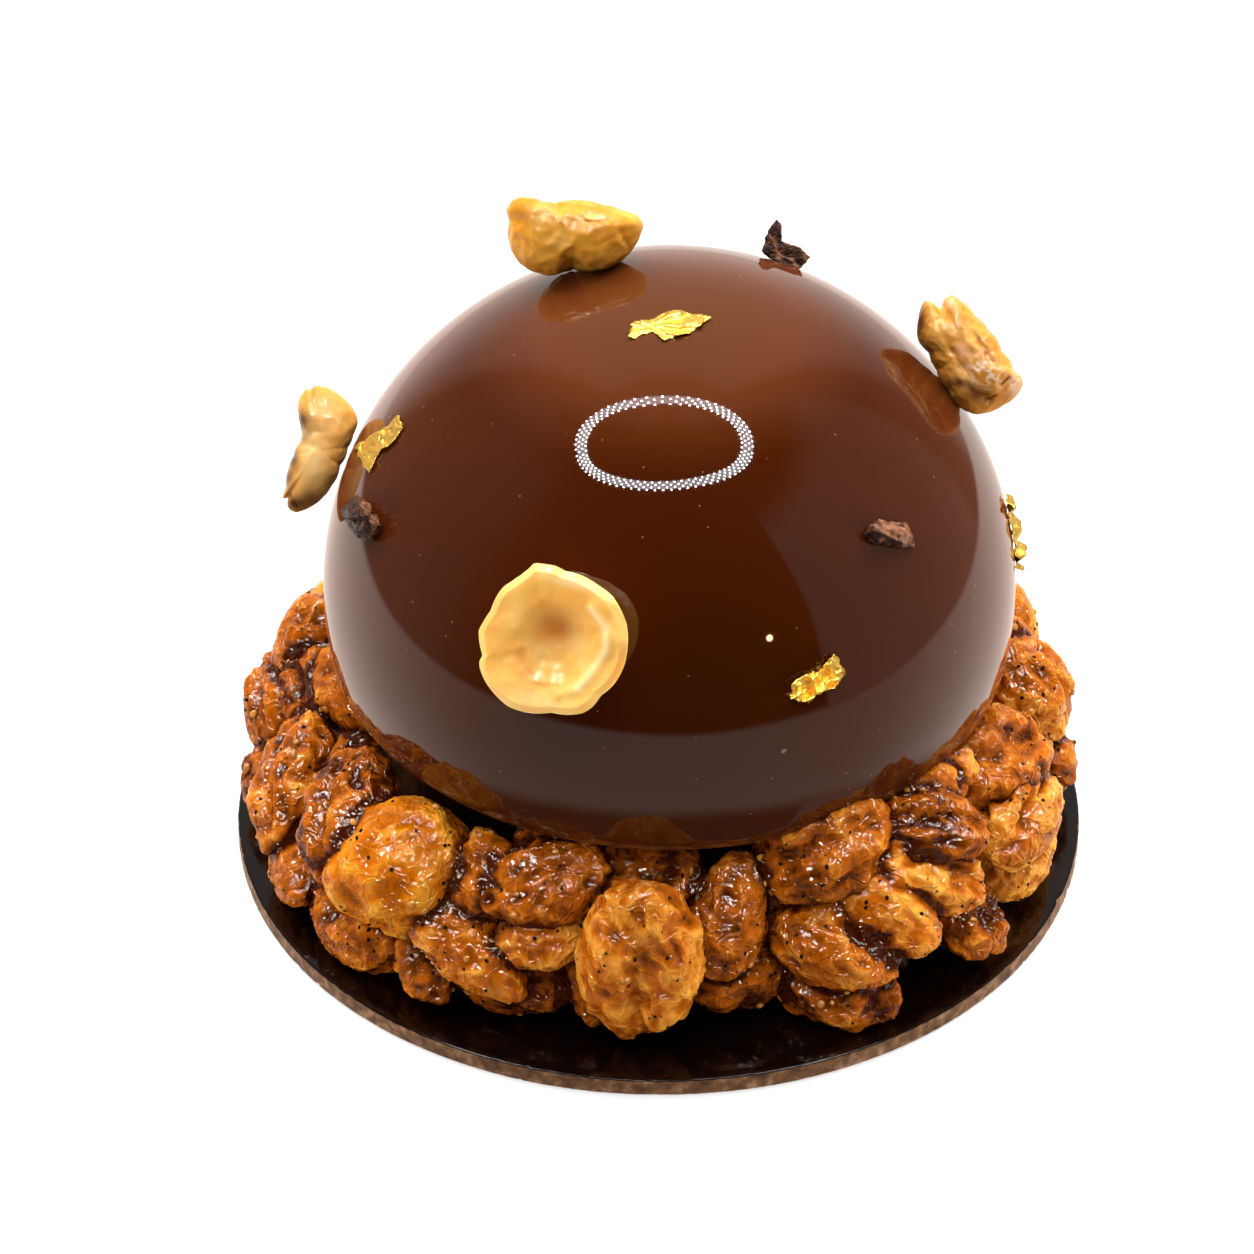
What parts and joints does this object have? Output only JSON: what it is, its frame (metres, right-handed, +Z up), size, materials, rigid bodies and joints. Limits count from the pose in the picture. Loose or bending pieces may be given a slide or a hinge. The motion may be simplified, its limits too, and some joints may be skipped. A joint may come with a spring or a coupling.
{
  "type": "chocolate dome dessert",
  "caption": "Mirror-glazed chocolate mousse dome on a heaped ring of caramelised nuts and a thin chocolate disc, topped with roasted nuts, cocoa nibs and gold leaf.",
  "frame": {"origin": "centre of the chocolate disc's underside, which is the face that the dessert rests on", "axes": "+Z up through the dome's top, -Y towards the front, +X to the right as seen from the front"},
  "size_m": [0.088, 0.088, 0.0705],
  "materials": {
    "dark_chocolate": "tempered dark chocolate, glossy on top and matt on its cut side",
    "caramelised_nut": "nuts in shiny caramel",
    "mirror_glaze": "wet, mirror-like chocolate glaze",
    "roasted_nut": "roasted nut, satin and slightly waxy",
    "cocoa_nib": "dry broken cocoa bean",
    "gold_leaf": "crumpled edible gold leaf"
  },
  "bodies": {
    "root": {"base_disc": "dark_chocolate", "nut_ring": "caramelised_nut", "dome": "mirror_glaze", "golden_nut": "roasted_nut", "broken_nut": "roasted_nut", "curved_nut": "roasted_nut", "hazelnut_half": "roasted_nut"}
  },
  "joints": []
}
